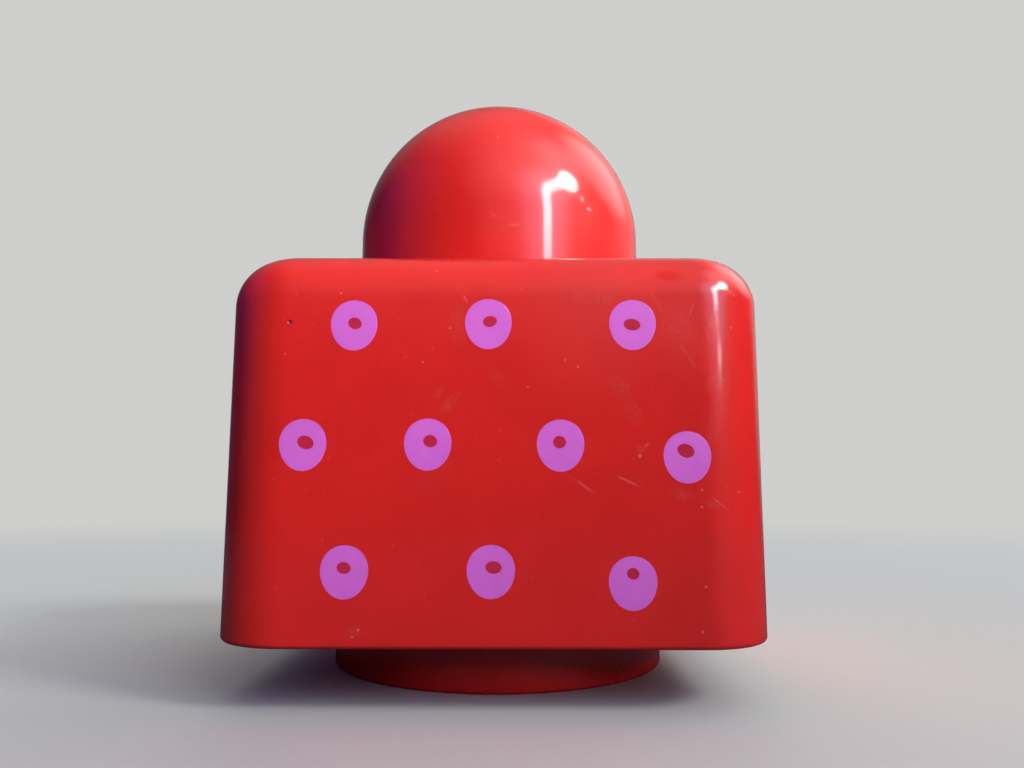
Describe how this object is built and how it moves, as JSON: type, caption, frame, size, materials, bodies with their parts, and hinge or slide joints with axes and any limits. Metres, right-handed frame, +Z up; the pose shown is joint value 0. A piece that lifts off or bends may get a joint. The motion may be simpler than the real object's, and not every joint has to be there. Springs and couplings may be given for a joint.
{
  "type": "toy building brick",
  "caption": "Hollow toddler's stacking brick: a rounded block with a round dome on top and a round socket collar below.",
  "frame": {"origin": "centre of the collar's rim, which is also the bottom centre of the whole brick", "axes": "+Z up through the dome, -Y out of the printed front, +X to the right of someone looking at the front"},
  "size_m": [0.0474, 0.0474, 0.061],
  "materials": {
    "shell_plastic": "gloss",
    "base_plastic": "gloss",
    "spot_ink": "satin"
  },
  "bodies": {
    "root": {"shell": "shell_plastic", "base": "base_plastic"}
  },
  "joints": []
}
